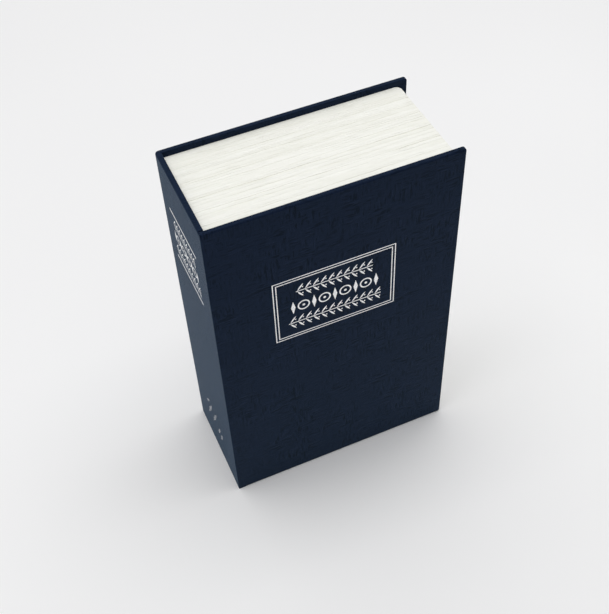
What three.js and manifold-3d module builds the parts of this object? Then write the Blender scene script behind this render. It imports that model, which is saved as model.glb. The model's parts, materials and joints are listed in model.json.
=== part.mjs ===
// Book diversion safe: a hardcover case round a moulded block of pages that hides a small steel box.
// Millimetres, +Z up. The book stands on its tail edge, and the origin is the middle of its foot.
// X runs from the spine (-) to the fore-edge (+), Y from the front cover (-) to the back cover (+).
import * as THREE from "three";
import { mergeVertices } from "three/addons/utils/BufferGeometryUtils.js";
import Module from "manifold-3d";

const wasm = await Module();
wasm.setup();

// The book as a whole
const bookWidth = 115;
const bookThickness = 55;
const bookHeight = 180;

// The case: greyboard covered in book cloth
const boardThickness = 1.8;
const clothThickness = 0.35;
const turnIn = 12;
const coverCorner = 1.2;
const spineCorner = 1.6;
const jointLeg = 4;

// The page block: one hollow white moulding
const headSquare = 2.7;
const foreSquare = 3.8;
const pageMargin = 7.5;
const pageWall = 1.8;
const pageRim = 2;
const windowWall = 1.5;
const pageEdgeRadius = 2.8;
const pageCornerRadius = 1;
const grooveDepth = 0.35;
const grooveMeanShare = 0.7;
const grooveSwingShare = 0.3;
const grooveSwingStep = 1.9;
const leafBundles = 22;
const stepsPerBundle = 3;
const ribThickness = 1.5;
const ribHeightShares = [0.2, 0.5, 0.8];
const ribWidthShares = [0.12, 0.5, 0.88];

// The steel box and its lid
const steel = 1;
const lidRecess = 2.1;
const lidFlange = 6;
const lidFlangeGap = 0.7;

// The piano hinge of the lid
const hingeLength = 130;
const hingeKnuckles = 9;
const hingeLeaf = 0.8;
const hingeLeafWidth = 12;
const hingePinRadius = 0.9;
const hingePinEnd = 0.8;
const leafRivetShare = 0.6;
const leafRivetInset = 15;

// The cam lock
const lockInset = 17;
const lockFlangeRadius = 10.5;
const lockFlangeThickness = 1.8;
const lockFlangeChamfer = 0.7;
const housingRadius = 8;
const housingFlat = 7;
const housingDepth = 13;
const plugRadius = 5.4;
const collarRadius = 6.2;
const collarThickness = 1;
const collarRecess = 0.3;
const shankWidth = 6;
const studRadius = 2.4;
const keywayWidth = 2;
const keywayHeight = 8;
const keywayDepth = 12.5;
const shearGroove = 1.2;
const lockNutFlats = 20;
const lockNutThickness = 3;
const starWasherThickness = 0.8;
const starWasherRadius = 10.6;
const starTeeth = 8;
const starNotchWidth = 1.6;
const starNotchDepth = 1.1;
const stopWasherThickness = 1;
const stopWasherRadius = 7.5;
const stopLugWidth = 3.2;
const stopLugThickness = 1.1;
const lockTurn = Math.PI / 2;
const camThickness = 1.6;
const camHubRadius = 6.8;
const camWidth = 10;
const camReach = 14.5;
const camWasherThickness = 0.8;
const camWasherRadius = 4.8;
const camNutFlats = 8;
const camNutThickness = 3;
const studEnd = 0.6;

// The wafers in the plug and their springs
const waferCount = 4;
const waferThickness = 0.9;
const waferPitch = 2.6;
const waferStart = 2;
const waferWidth = 4.4;
const waferHeight = 9.2;
const waferWindowWidth = 2.6;
const waferWindowHeight = 4.6;
const waferEarReach = 1.8;
const waferEarHeight = 1;
const waferEarLevel = 1.6;
const springTurns = 3.5;
const springRadius = 0.58;
const springWireRadius = 0.14;
const springLength = 2.9;

// The keeper that the cam hooks behind
const keeperReach = 6;
const keeperLength = 18;
const keeperFoot = 7;
const keeperGap = 0.5;

// Rivets and screws
const rivetRadius = 1.5;
const rivetHeadRadius = 2.6;
const rivetHeadHeight = 0.8;
const rivetDomeShares = [[0.6, 0.8], [0.9, 0.4]];
const rivetTailShare = 0.8;
const keeperRivetSpread = 5;
const screwRadius = 1.45;
const screwLength = 6;
const screwHeadRadius = 2.8;
const screwHeadHeight = 1.6;
const screwCrownShare = 0.7;
const screwRimShare = 0.5;
const screwRecessWidth = 0.7;
const screwRecessLength = 3;
const screwRecessDepth = 0.9;
const screwSpread = 25;
const screwDepth = 30;
const bossWidth = 9;

// Clearances, and how far a cut runs past what it cuts
const runningGap = 0.3;
const fitGap = 0.1;
const liningGap = 0.3;
const overrun = 1;
const grain = 1e-4;
const weld = 1e-3;

// How many flat facets stand for a round form
const roundSides = 24;
const smallSides = 16;
const hexagonSides = 6;
const coverCornerFacets = 4;
const pageCornerFacets = 3;
const notchFacets = 10;
const springWireFacets = 3;
const springStepsPerTurn = 8;

// Planes of the book: the outside, then the inside of the covered boards
const covered = boardThickness + 2 * clothThickness;
const spineX = -bookWidth / 2;
const foreX = bookWidth / 2;
const frontY = -bookThickness / 2;
const backY = bookThickness / 2;
const innerSpineX = spineX + covered;
const innerFrontY = frontY + covered;
const innerBackY = backY - covered;

// Planes of the page block
const pageX = [innerSpineX, foreX - foreSquare];
const pageY = [innerFrontY + runningGap, innerBackY];
const pageZ = [headSquare, bookHeight - headSquare];

// Planes of the steel box, which fills the window of the page block
const boxX = inset(pageX, pageMargin);
const boxZ = inset(pageZ, pageMargin);
const lidFaceY = pageY[0] + lidRecess;
const boxY = [lidFaceY + steel + runningGap, pageY[1]];
const boxInsideX = inset(boxX, steel);
const boxInsideZ = inset(boxZ, steel);
const middleZ = bookHeight / 2;

// The hinge axis lies in the plane of the lid's face, one barrel radius inside the box's spine wall
const barrelRadius = hingePinRadius + fitGap + hingeLeaf;
const hingeX = boxInsideX[0] + barrelRadius;
const hingeY = lidFaceY;

// The lock's axis, and the levels of what is stacked on its plug, counted from the lid's face
const lockX = boxInsideX[1] - lockInset;
const shoulderLevel = housingDepth + runningGap;
const camLevel = shoulderLevel + stopWasherThickness;
const camWasherLevel = camLevel + camThickness;
const camNutLevel = camWasherLevel + camWasherThickness;
const studLevel = camNutLevel + camNutThickness + studEnd;

// Finishes
const finish = (color, roughness, metalness) =>
  new THREE.MeshStandardMaterial({ color, roughness, metalness });
const navyCloth = finish(0x1d2737, 0.85, 0);
const greyboard = finish(0x8d8577, 0.95, 0);
const liningPaper = finish(0x14181f, 0.9, 0);
const pageWhite = finish(0xeeede4, 0.6, 0);
const boxPaint = finish(0x2b2d30, 0.5, 0.3);
const brightSteel = finish(0xb9bcc0, 0.35, 1);
const lockChrome = finish(0xd5d7da, 0.2, 1);
const brass = finish(0xc2a15a, 0.35, 1);

// A range moved in by the same amount at both ends
function inset([low, high], amount) {
  return [low + amount, high - amount];
}

// A range of a given length round a middle
function around(middle, length) {
  return [middle - length / 2, middle + length / 2];
}

// Numbers rounded to the grain, so that faces meant to touch share the same coordinates
function rounded(array) {
  return array.map((value) => Math.round(value / grain) * grain);
}

// A closed three.js geometry as a solid that can be joined and cut
function solidOf(geometry) {
  const bare = geometry.index ? geometry.toNonIndexed() : geometry.clone();
  bare.deleteAttribute("normal");
  bare.deleteAttribute("uv");
  const merged = mergeVertices(bare, weld);
  return new wasm.Manifold(
    new wasm.Mesh({
      numProp: 3,
      vertProperties: rounded(merged.attributes.position.array),
      triVerts: new Uint32Array(merged.index.array),
    }),
  );
}

// A solid as a named mesh
function piece(name, solid, material) {
  const mesh = solid.getMesh();
  const geometry = new THREE.BufferGeometry();
  const points = rounded(mesh.vertProperties);
  geometry.setAttribute("position", new THREE.BufferAttribute(points, mesh.numProp));
  geometry.setIndex(new THREE.BufferAttribute(mesh.triVerts, 1));
  geometry.computeVertexNormals();
  const made = new THREE.Mesh(geometry, material);
  made.name = name;
  return made;
}

// Solids joined, or all of them cut from the first
function joined(...solids) {
  return solids.reduce((whole, one) => whole.add(one));
}

function cut(first, ...others) {
  return others.reduce((whole, one) => whole.subtract(one), first);
}

// A box between three pairs of planes
function slab([x0, x1], [y0, y1], [z0, z1]) {
  const box = new THREE.BoxGeometry(x1 - x0, y1 - y0, z1 - z0);
  return solidOf(box.translate((x0 + x1) / 2, (y0 + y1) / 2, (z0 + z1) / 2));
}

// A round rod along Y at (x, z), and the same along X and Z
function rodY(radius, [y0, y1], x = 0, z = 0, sides = roundSides) {
  const rod = new THREE.CylinderGeometry(radius, radius, y1 - y0, sides);
  return solidOf(rod.translate(x, (y0 + y1) / 2, z));
}

function rodX(radius, [x0, x1], y, z, sides = smallSides) {
  const rod = new THREE.CylinderGeometry(radius, radius, x1 - x0, sides);
  return solidOf(rod.rotateZ(Math.PI / 2).translate((x0 + x1) / 2, y, z));
}

function rodZ(radius, [z0, z1], x, y, sides = smallSides) {
  const rod = new THREE.CylinderGeometry(radius, radius, z1 - z0, sides);
  return solidOf(rod.rotateX(Math.PI / 2).translate(x, y, (z0 + z1) / 2));
}

// A body turned about the Y axis; its outline is a list of [radius, y] from axis to axis
function turned(outline, sides = roundSides) {
  const points = outline.map(([radius, y]) => new THREE.Vector2(radius, y));
  return solidOf(new THREE.LatheGeometry(points, sides));
}

// A flat outline in X and Z, as thick as the Y range
function plate(shape, [y0, y1], steps = 1, curveSegments = coverCornerFacets) {
  const options = { depth: y1 - y0, bevelEnabled: false, steps, curveSegments };
  return new THREE.ExtrudeGeometry(shape, options).rotateX(Math.PI / 2).translate(0, y1, 0);
}

// A cover's outline: square at the spine, rounded at the two fore-edge corners
function coverShape([x0, x1], [z0, z1], radius) {
  const shape = new THREE.Shape();
  shape.moveTo(x0, z0);
  shape.lineTo(x1 - radius, z0);
  shape.absarc(x1 - radius, z0 + radius, radius, -Math.PI / 2, 0);
  shape.absarc(x1 - radius, z1 - radius, radius, 0, Math.PI / 2);
  shape.lineTo(x0, z1);
  shape.closePath();
  return shape;
}

// A hexagon across its flats, as thick as the Y range
function hexagon(flats, range) {
  const radius = flats / 2 / Math.cos(Math.PI / 6);
  return rodY(radius, range, 0, 0, hexagonSides);
}

// Case: each board lies in a skin of cloth that is turned in round its edges
const clothIn = clothThickness;
const frontBoardX = [spineX + 2 * clothIn, foreX - clothIn];
const backBoardX = [spineX + clothIn, foreX - clothIn];
const boardZ = inset([0, bookHeight], clothIn);
const liningZ = inset([0, bookHeight], turnIn);
const spineY = [innerFrontY + runningGap, innerBackY];

function boardSolid(rangeX, rangeY) {
  return solidOf(plate(coverShape(rangeX, boardZ, coverCorner - clothIn), rangeY));
}

function frontBoard() {
  return boardSolid(frontBoardX, inset([frontY, innerFrontY], clothIn));
}

// The edge between the spine and the back cover is rounded
function withRoundedEdge(solid, radius) {
  const tall = [-overrun, bookHeight + overrun];
  const [x, y] = [spineX + spineCorner, backY - spineCorner];
  const edge = slab([spineX - overrun, x], [y, backY + overrun], tall);
  return cut(solid, cut(edge, rodZ(radius, tall, x, y)));
}

function backBoard() {
  const board = boardSolid(backBoardX, inset([innerBackY, backY], clothIn));
  return withRoundedEdge(board, spineCorner - clothIn);
}

function spineBoard() {
  const rangeY = [spineY[0] + clothIn, spineY[1]];
  return slab(inset([spineX, innerSpineX], clothIn), rangeY, boardZ);
}

// The joint is the strip of cloth that bends at the corner between the spine and the front board
function jointCloth() {
  const frontLeg = slab([spineX, spineX + jointLeg], [frontY, frontY + clothIn], [0, bookHeight]);
  const spineLeg = slab([spineX, spineX + clothIn], [frontY, frontY + jointLeg], [0, bookHeight]);
  return joined(frontLeg, spineLeg);
}

function coverSkin(rangeX, rangeY) {
  return solidOf(plate(coverShape(rangeX, [0, bookHeight], coverCorner), rangeY));
}

function frontCloth() {
  const skin = coverSkin([spineX + clothIn, foreX], [frontY, innerFrontY]);
  const joint = slab(
    [spineX - overrun, spineX + jointLeg],
    [frontY - overrun, frontY + clothIn],
    [-overrun, bookHeight + overrun],
  );
  const lining = slab(
    [spineX - overrun, foreX - turnIn],
    [innerFrontY - clothIn, innerFrontY + overrun],
    liningZ,
  );
  return cut(skin, frontBoard(), joint, lining);
}

function backCloth() {
  const skin = coverSkin([spineX, foreX], [innerBackY, backY]);
  const lining = slab(
    [innerSpineX, foreX - turnIn],
    [innerBackY - overrun, innerBackY + clothIn],
    liningZ,
  );
  return cut(withRoundedEdge(skin, spineCorner), backBoard(), lining);
}

function spineCloth() {
  const skin = slab([spineX, innerSpineX], spineY, [0, bookHeight]);
  const joint = slab(
    [spineX - overrun, spineX + clothIn],
    [spineY[0] - overrun, frontY + jointLeg],
    [-overrun, bookHeight + overrun],
  );
  const lining = slab(
    [innerSpineX - clothIn, innerSpineX + overrun],
    [spineY[0] - overrun, backY],
    liningZ,
  );
  return cut(skin, spineBoard(), joint, lining);
}

function frontLining() {
  const rangeX = [frontBoardX[0], foreX - turnIn - liningGap];
  return slab(rangeX, [innerFrontY - clothIn, innerFrontY], inset(liningZ, liningGap));
}

function backLining() {
  const rangeX = [innerSpineX + liningGap, foreX - turnIn - liningGap];
  return slab(rangeX, [innerBackY, innerBackY + clothIn], inset(liningZ, liningGap));
}

function spineLining() {
  const rangeY = inset(spineY, liningGap);
  return slab([innerSpineX - clothIn, innerSpineX], rangeY, inset(liningZ, liningGap));
}

// Page block: its head, tail and fore-edge carry a groove between each two bundles of leaves
function pageBlock() {
  const steps = leafBundles * stepsPerBundle;
  const shape = coverShape(pageX, pageZ, pageCornerRadius);
  const geometry = plate(shape, pageY, steps, pageCornerFacets);
  const points = geometry.attributes.position;
  const middleX = (pageX[0] + pageX[1]) / 2;
  const stepLength = (pageY[1] - pageY[0]) / steps;
  for (let i = 0; i < points.count; i += 1) {
    const y = points.getY(i);
    const station = Math.round((y - pageY[0]) / stepLength);
    const groove = grooveAt(station, steps);
    const toEdge = Math.min(y - pageY[0], pageY[1] - y, pageEdgeRadius);
    const rise = Math.sqrt(pageEdgeRadius ** 2 - (pageEdgeRadius - Math.max(toEdge, 0)) ** 2);
    const rounding = pageEdgeRadius - rise;
    if (points.getX(i) > middleX) points.setX(i, points.getX(i) - groove - rounding);
    points.setZ(i, points.getZ(i) + (points.getZ(i) > middleZ ? -groove : groove));
  }
  return solidOf(geometry);
}

// Depth of the groove at one station through the thickness; the bundles are unevenly deep
function grooveAt(station, steps) {
  if (station % stepsPerBundle !== 0 || station === 0 || station === steps) return 0;
  const swing = grooveSwingShare * Math.sin(station * grooveSwingStep);
  return grooveDepth * (grooveMeanShare + swing);
}

// Places of the four screws that hold the box in the page block
const screwY = lidFaceY + screwDepth;
const boxMiddleX = (boxX[0] + boxX[1]) / 2;
const screwPlaces = [-1, 1].flatMap((side) =>
  [-1, 1].map((end) => ({ x: boxMiddleX + side * screwSpread, end })),
);

function frameRibs() {
  const ribs = [];
  for (const share of ribHeightShares) {
    const z = pageZ[0] + share * (pageZ[1] - pageZ[0]);
    ribs.push(slab(pageX, pageY, around(z, ribThickness)));
  }
  for (const share of ribWidthShares) {
    const x = pageX[0] + share * (pageX[1] - pageX[0]);
    ribs.push(slab(around(x, ribThickness), pageY, pageZ));
  }
  for (const { x } of screwPlaces.filter(({ end }) => end > 0)) {
    ribs.push(slab(around(x, bossWidth), [pageY[0], screwY + bossWidth / 2], pageZ));
  }
  return joined(...ribs);
}

function pageFrame() {
  const through = [pageY[0] - overrun, pageY[1] + overrun];
  const window = slab(inset(boxX, -runningGap), through, inset(boxZ, -runningGap));
  const hollow = [pageY[0] + pageRim, pageY[1] + overrun];
  const wallInside = runningGap + windowWall;
  const channel = cut(
    slab(inset(pageX, pageWall), hollow, inset(pageZ, pageWall)),
    slab(inset(boxX, -wallInside), through, inset(boxZ, -wallInside)),
    frameRibs(),
  );
  const pilots = screwPlaces.map(({ x, end }) => {
    const from = end > 0 ? boxZ[1] : boxZ[0];
    const reach = [from, from + end * (screwLength + fitGap)].sort((a, b) => a - b);
    return rodZ(screwRadius + fitGap, reach, x, screwY);
  });
  return cut(pageBlock(), window, channel, ...pilots);
}

// Steel box: a pan that opens towards the front cover
function steelBox() {
  const pan = cut(
    slab(boxX, boxY, boxZ),
    slab(boxInsideX, [boxY[0] - overrun, boxY[1] - steel], boxInsideZ),
  );
  const across = [boxX[0] - overrun, boxInsideX[0] + overrun];
  const leafHoles = leafRivetLevels.map((z) => rodX(rivetRadius + fitGap, across, leafRivetY, z));
  const foreAcross = [boxInsideX[1] - overrun, boxX[1] + overrun];
  const keeperHoles = keeperRivetLevels.map((z) =>
    rodX(rivetRadius + fitGap, foreAcross, keeperRivetY, z),
  );
  const headWall = [boxInsideZ[1] - overrun, boxZ[1] + overrun];
  const tailWall = [boxZ[0] - overrun, boxInsideZ[0] + overrun];
  const screwHoles = screwPlaces.map(({ x, end }) =>
    rodZ(screwRadius + fitGap, end > 0 ? headWall : tailWall, x, screwY),
  );
  return cut(pan, ...leafHoles, ...keeperHoles, ...screwHoles);
}

// Keeper: an angle riveted to the fore-edge wall; the locked cam lies behind its shelf
const keeperY = lidFaceY + camLevel - keeperGap;
const keeperRivetY = keeperY + keeperFoot / 2;
const keeperRivetLevels = [-1, 1].map((side) => middleZ + side * keeperRivetSpread);
const keeperFaceX = boxInsideX[1] - steel;

function keeper() {
  const rangeZ = around(middleZ, keeperLength);
  const shelf = slab([boxInsideX[1] - keeperReach, boxInsideX[1]], [keeperY - steel, keeperY], rangeZ);
  const foot = slab([keeperFaceX, boxInsideX[1]], [keeperY - steel, keeperY + keeperFoot], rangeZ);
  const across = [keeperFaceX - overrun, boxInsideX[1] + overrun];
  const holes = keeperRivetLevels.map((z) => rodX(rivetRadius + fitGap, across, keeperRivetY, z));
  return cut(joined(shelf, foot), ...holes);
}

// Hinge: knuckles of the two leaves take turns along one pin
const knucklePitch = hingeLength / hingeKnuckles;
const hingeFrom = middleZ - hingeLength / 2;
const hingeZ = [hingeFrom, hingeFrom + hingeLength];
const leafRivetY = hingeY + hingeLeafWidth * leafRivetShare;
const leafRivetSpread = hingeLength / 2 - leafRivetInset;
const leafRivetLevels = [-1, 0, 1].map((side) => middleZ + side * leafRivetSpread);
const lidRivetX = hingeX + hingeLeafWidth * leafRivetShare;

function knuckleRange(index) {
  return around(hingeFrom + (index + 0.5) * knucklePitch, knucklePitch - runningGap);
}

function isBoxKnuckle(index) {
  return index % 2 === 0;
}

// A leaf is its knuckles, each on a lug, and the strip that the lugs grow from
function hingeLeafSolid(strip, lugAt, ownKnuckle) {
  const indices = [...Array(hingeKnuckles).keys()].filter(ownKnuckle);
  const knuckles = indices.map((index) => rodZ(barrelRadius, knuckleRange(index), hingeX, hingeY));
  const lugs = indices.map((index) => lugAt(knuckleRange(index)));
  const bore = rodZ(hingePinRadius + fitGap, inset(hingeZ, -overrun), hingeX, hingeY);
  return cut(joined(strip, ...knuckles, ...lugs), bore);
}

function boxLeaf() {
  const rangeX = [hingeX - barrelRadius, hingeX - barrelRadius + hingeLeaf];
  const clearOfBarrel = hingeY + barrelRadius + runningGap;
  const strip = slab(rangeX, [clearOfBarrel, hingeY + hingeLeafWidth], hingeZ);
  const lugAt = (rangeZ) => slab(rangeX, [hingeY, clearOfBarrel], rangeZ);
  const across = [rangeX[0] - overrun, rangeX[1] + overrun];
  const holes = leafRivetLevels.map((z) => rodX(rivetRadius + fitGap, across, leafRivetY, z));
  return cut(hingeLeafSolid(strip, lugAt, isBoxKnuckle), ...holes);
}

const lidLeafY = [hingeY + barrelRadius - hingeLeaf, hingeY + barrelRadius];
const lidUnderY = lidFaceY + steel;
const lidFromX = hingeX + barrelRadius + runningGap;

function lidRivetHoles(through) {
  const radius = rivetRadius + fitGap;
  return leafRivetLevels.map((z) => rodY(radius, through, lidRivetX, z, smallSides));
}

function lidLeaf() {
  const strip = slab([lidFromX, hingeX + hingeLeafWidth], lidLeafY, hingeZ);
  const lugAt = (rangeZ) => slab([hingeX, lidFromX], lidLeafY, rangeZ);
  const through = inset(lidLeafY, -overrun);
  const holes = lidRivetHoles(through);
  return cut(hingeLeafSolid(strip, lugAt, (index) => !isBoxKnuckle(index)), ...holes);
}

function hingePin() {
  return rodZ(hingePinRadius, inset(hingeZ, -hingePinEnd), hingeX, hingeY);
}

// Lid: a plate that lies over the rim of the box, with flanges inside three of its walls
function lidPanel() {
  const panel = slab([lidFromX, boxX[1]], [lidFaceY, lidUnderY], boxZ);
  const flangeFromX = hingeX + hingeLeafWidth + runningGap;
  const flangeX = [flangeFromX, boxInsideX[1] - lidFlangeGap];
  const flangeZ = inset(boxInsideZ, lidFlangeGap);
  const flangeY = [lidUnderY, lidUnderY + lidFlange];
  const flanges = cut(
    slab(flangeX, flangeY, flangeZ),
    slab([flangeX[0] - overrun, flangeX[1] - steel], inset(flangeY, -overrun), inset(flangeZ, steel)),
  );
  const through = inset([lidFaceY, lidUnderY], -overrun);
  const lockHole = rodY(housingRadius + fitGap, through, lockX, middleZ).intersect(
    slab(around(lockX, 2 * (housingFlat + fitGap)), through, boxZ),
  );
  const holes = lidRivetHoles(through);
  return cut(joined(panel, flanges), lockHole, ...holes);
}

// Lock pieces are made round the lock's own axis, with y = 0 on the face of the lid
function lockHousing() {
  const body = turned([
    [0, -lockFlangeThickness],
    [lockFlangeRadius - lockFlangeChamfer, -lockFlangeThickness],
    [lockFlangeRadius, lockFlangeChamfer - lockFlangeThickness],
    [lockFlangeRadius, 0],
    [housingRadius, 0],
    [housingRadius, housingDepth],
    [0, housingDepth],
  ]);
  const farEnd = housingDepth + overrun;
  const whole = [-lockFlangeThickness - overrun, farEnd];
  const beyond = [housingFlat, housingRadius + overrun];
  const flats = [beyond, beyond.map((x) => -x).reverse()].map((rangeX) =>
    slab(rangeX, [0, farEnd], around(0, 2 * beyond[1])),
  );
  const bore = rodY(plugRadius + fitGap, whole);
  const seatFloor = collarRecess - lockFlangeThickness + collarThickness + fitGap;
  const seat = rodY(collarRadius + fitGap, [whole[0], seatFloor]);
  const grooveHeight = 2 * (plugRadius + shearGroove);
  const groove = slab(
    around(0, waferWidth + 2 * fitGap),
    [waferStart - fitGap, farEnd],
    around(0, grooveHeight),
  );
  return cut(joined(body, stopLug()), ...flats, bore, seat, groove);
}

// Level of one wafer along the plug
function waferLevel(index) {
  return waferStart + index * waferPitch;
}

const springX = waferWidth / 2 + fitGap + springRadius + springWireRadius + fitGap;

function lockPlug() {
  const face = collarRecess - lockFlangeThickness;
  const body = turned([
    [0, face],
    [collarRadius, face],
    [collarRadius, face + collarThickness],
    [plugRadius, face + collarThickness],
    [plugRadius, shoulderLevel],
    [0, shoulderLevel],
  ]);
  const square = around(0, shankWidth);
  const shank = slab(square, [shoulderLevel - overrun, camWasherLevel - fitGap], square);
  const stud = rodY(studRadius, [shoulderLevel, studLevel], 0, 0, smallSides);
  const keywayY = [face - overrun, face + keywayDepth];
  const keyway = slab(around(0, keywayWidth), keywayY, around(0, keywayHeight));
  const rooms = [...Array(waferCount).keys()].map((index) => waferRoom(waferLevel(index)));
  return cut(joined(body, shank, stud), keyway, ...rooms);
}

// Room in the plug for a wafer, which is broached right through, and for the spring beside it
function waferRoom(level) {
  const slotY = [level - fitGap, level + waferThickness + fitGap];
  const slot = slab(around(0, waferWidth + 2 * fitGap), slotY, around(0, 2 * (plugRadius + overrun)));
  const side = 2 * (springRadius + springWireRadius + fitGap);
  const middle = level + waferThickness / 2;
  const pocketTop = waferEarLevel + waferEarHeight + fitGap;
  const pocketFoot = waferEarLevel - springLength - 4 * fitGap;
  const pocketX = [waferWidth / 2 - fitGap, springX + side / 2 + fitGap];
  return joined(slot, slab(pocketX, around(middle, side), [pocketFoot, pocketTop]));
}

function wafer() {
  const rangeY = [0, waferThickness];
  const body = slab(around(0, waferWidth), rangeY, around(0, waferHeight));
  const ear = slab(
    [0, waferWidth / 2 + waferEarReach],
    rangeY,
    [waferEarLevel, waferEarLevel + waferEarHeight],
  );
  const window = slab(around(0, waferWindowWidth), inset(rangeY, -overrun), around(0, waferWindowHeight));
  return cut(joined(body, ear), window);
}

// A helix for the spring that lifts a wafer by its ear
class Helix extends THREE.Curve {
  getPoint(t, target = new THREE.Vector3()) {
    const angle = t * springTurns * 2 * Math.PI;
    const rise = springLength - 2 * springWireRadius;
    return target.set(springRadius * Math.cos(angle), springRadius * Math.sin(angle), t * rise);
  }
}

function waferSpring() {
  const section = new THREE.Shape();
  section.absarc(0, 0, springWireRadius, 0, 2 * Math.PI);
  const options = {
    steps: springTurns * springStepsPerTurn,
    curveSegments: springWireFacets,
    bevelEnabled: false,
    extrudePath: new Helix(),
  };
  return solidOf(new THREE.ExtrudeGeometry(section, options));
}

function starWasher() {
  const range = [steel, steel + starWasherThickness];
  const hole = rodY(housingRadius + 2 * fitGap, inset(range, -overrun));
  const notches = [...Array(starTeeth).keys()].map((index) => {
    const notch = new THREE.BoxGeometry(starNotchWidth, 2 * overrun + starWasherThickness, starNotchDepth);
    notch.translate(0, steel + starWasherThickness / 2, starWasherRadius);
    return solidOf(notch.rotateY((index * 2 * Math.PI) / starTeeth));
  });
  return cut(rodY(starWasherRadius, range), hole, ...notches);
}

function lockNut() {
  const from = steel + starWasherThickness;
  const range = [from, from + lockNutThickness];
  return cut(hexagon(lockNutFlats, range), rodY(housingRadius + 2 * fitGap, inset(range, -overrun)));
}

function squareHole(range) {
  const side = shankWidth + 2 * fitGap;
  return slab(around(0, side), inset(range, -overrun), around(0, side));
}

// The stop washer has a notch of a quarter turn, and the lug on the end of the housing stands in it
const stopLugFrom = plugRadius + fitGap + runningGap;

function stopLug() {
  const rangeX = [-stopLugFrom - stopLugThickness, -stopLugFrom];
  return slab(rangeX, [housingDepth - overrun, camLevel - runningGap], around(0, stopLugWidth));
}

function stopWasher() {
  const range = [shoulderLevel, camLevel];
  const spare = Math.atan2(stopLugWidth / 2 + runningGap, stopLugFrom);
  const from = Math.PI - spare;
  const to = Math.PI + lockTurn + spare;
  const notch = new THREE.Shape();
  notch.absarc(0, 0, stopWasherRadius + overrun, from, to);
  notch.absarc(0, 0, stopLugFrom - runningGap, to, from, true);
  notch.closePath();
  const notchSolid = solidOf(plate(notch, inset(range, -overrun), 1, notchFacets));
  return cut(rodY(stopWasherRadius, range), notchSolid, squareHole(range));
}

// Cam: a hub on the plug's square and an arm with a round end; at rest it points up and frees the lid
function lockCam() {
  const range = [camLevel, camWasherLevel];
  const armEnd = camReach - camWidth / 2;
  const arm = slab(around(0, camWidth), range, [0, armEnd]);
  const hub = rodY(camHubRadius, range);
  const tip = rodY(camWidth / 2, range, 0, armEnd);
  return cut(joined(hub, arm, tip), squareHole(range));
}

function studHole(range) {
  return rodY(studRadius + fitGap, inset(range, -overrun), 0, 0, smallSides);
}

function camWasher() {
  const range = [camWasherLevel, camNutLevel];
  return cut(rodY(camWasherRadius, range), studHole(range));
}

function camNut() {
  const range = [camNutLevel, camNutLevel + camNutThickness];
  return cut(hexagon(camNutFlats, range), studHole(range));
}

// A rivet along Y: its domed head stands out towards -Y, and a grip of sheet lies behind it
function rivet(grip, hasTailHead) {
  const dome = rivetDomeShares.map(([radiusShare, heightShare]) => [
    rivetHeadRadius * radiusShare,
    -rivetHeadHeight * heightShare,
  ]);
  const shank = [
    [rivetHeadRadius, 0],
    [rivetRadius, 0],
    [rivetRadius, grip],
  ];
  const tailRadius = rivetHeadRadius * rivetTailShare;
  const tailEnd = grip + rivetHeadHeight * rivetTailShare;
  const tail = [
    [tailRadius, grip],
    [tailRadius, tailEnd],
    [0, tailEnd],
  ];
  const end = hasTailHead ? tail : [[0, grip]];
  return turned([[0, -rivetHeadHeight], ...dome, ...shank, ...end], smallSides);
}

// A pan-head screw along Y: the head lies on -Y and the shank runs towards +Y
function screw() {
  const body = turned(
    [
      [0, -screwHeadHeight],
      [screwHeadRadius * screwCrownShare, -screwHeadHeight],
      [screwHeadRadius, -screwHeadHeight * screwRimShare],
      [screwHeadRadius, 0],
      [screwRadius, 0],
      [screwRadius, screwLength - screwRadius],
      [0, screwLength],
    ],
    smallSides,
  );
  const rangeY = [-screwHeadHeight - overrun, screwRecessDepth - screwHeadHeight];
  const across = slab(around(0, screwRecessLength), rangeY, around(0, screwRecessWidth));
  const along = slab(around(0, screwRecessWidth), rangeY, around(0, screwRecessLength));
  return cut(body, across, along);
}

// A mesh set down at a place, turned about one axis at a time
function placed(mesh, x, y, z, turnX = 0, turnZ = 0) {
  mesh.position.set(x, y, z);
  mesh.rotation.set(turnX, 0, turnZ);
  return mesh;
}

function group(...children) {
  const made = new THREE.Group();
  made.add(...children);
  return made;
}

function caseGroup() {
  return group(
    piece("back_board", backBoard(), greyboard),
    piece("spine_board", spineBoard(), greyboard),
    piece("back_cloth", backCloth(), navyCloth),
    piece("spine_cloth", spineCloth(), navyCloth),
    piece("joint_cloth", jointCloth(), navyCloth),
    piece("back_lining", backLining(), liningPaper),
    piece("spine_lining", spineLining(), liningPaper),
  );
}

function frontCoverGroup() {
  return group(
    piece("front_board", frontBoard(), greyboard),
    piece("front_cloth", frontCloth(), navyCloth),
    piece("front_lining", frontLining(), liningPaper),
  );
}

// Box, keeper and hinge, with the rivets and screws that hold them
function boxGroup() {
  const made = group(
    piece("page_frame", pageFrame(), pageWhite),
    piece("steel_box", steelBox(), boxPaint),
    piece("keeper", keeper(), brightSteel),
    piece("hinge_box_leaf", boxLeaf(), brightSteel),
    piece("hinge_pin", hingePin(), brightSteel),
  );
  const leafGrip = steel + hingeLeaf;
  leafRivetLevels.forEach((z, index) => {
    const one = piece(`box_leaf_rivet_${index + 1}`, rivet(leafGrip, false), brightSteel);
    made.add(placed(one, boxX[0] + leafGrip, leafRivetY, z, 0, Math.PI / 2));
  });
  keeperRivetLevels.forEach((z, index) => {
    const one = piece(`keeper_rivet_${index + 1}`, rivet(2 * steel, false), brightSteel);
    made.add(placed(one, keeperFaceX, keeperRivetY, z, 0, -Math.PI / 2));
  });
  screwPlaces.forEach(({ x, end }, index) => {
    const one = piece(`frame_screw_${index + 1}`, screw(), brightSteel);
    const z = end > 0 ? boxInsideZ[1] : boxInsideZ[0];
    made.add(placed(one, x, screwY, z, (end * Math.PI) / 2));
  });
  return made;
}

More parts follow.
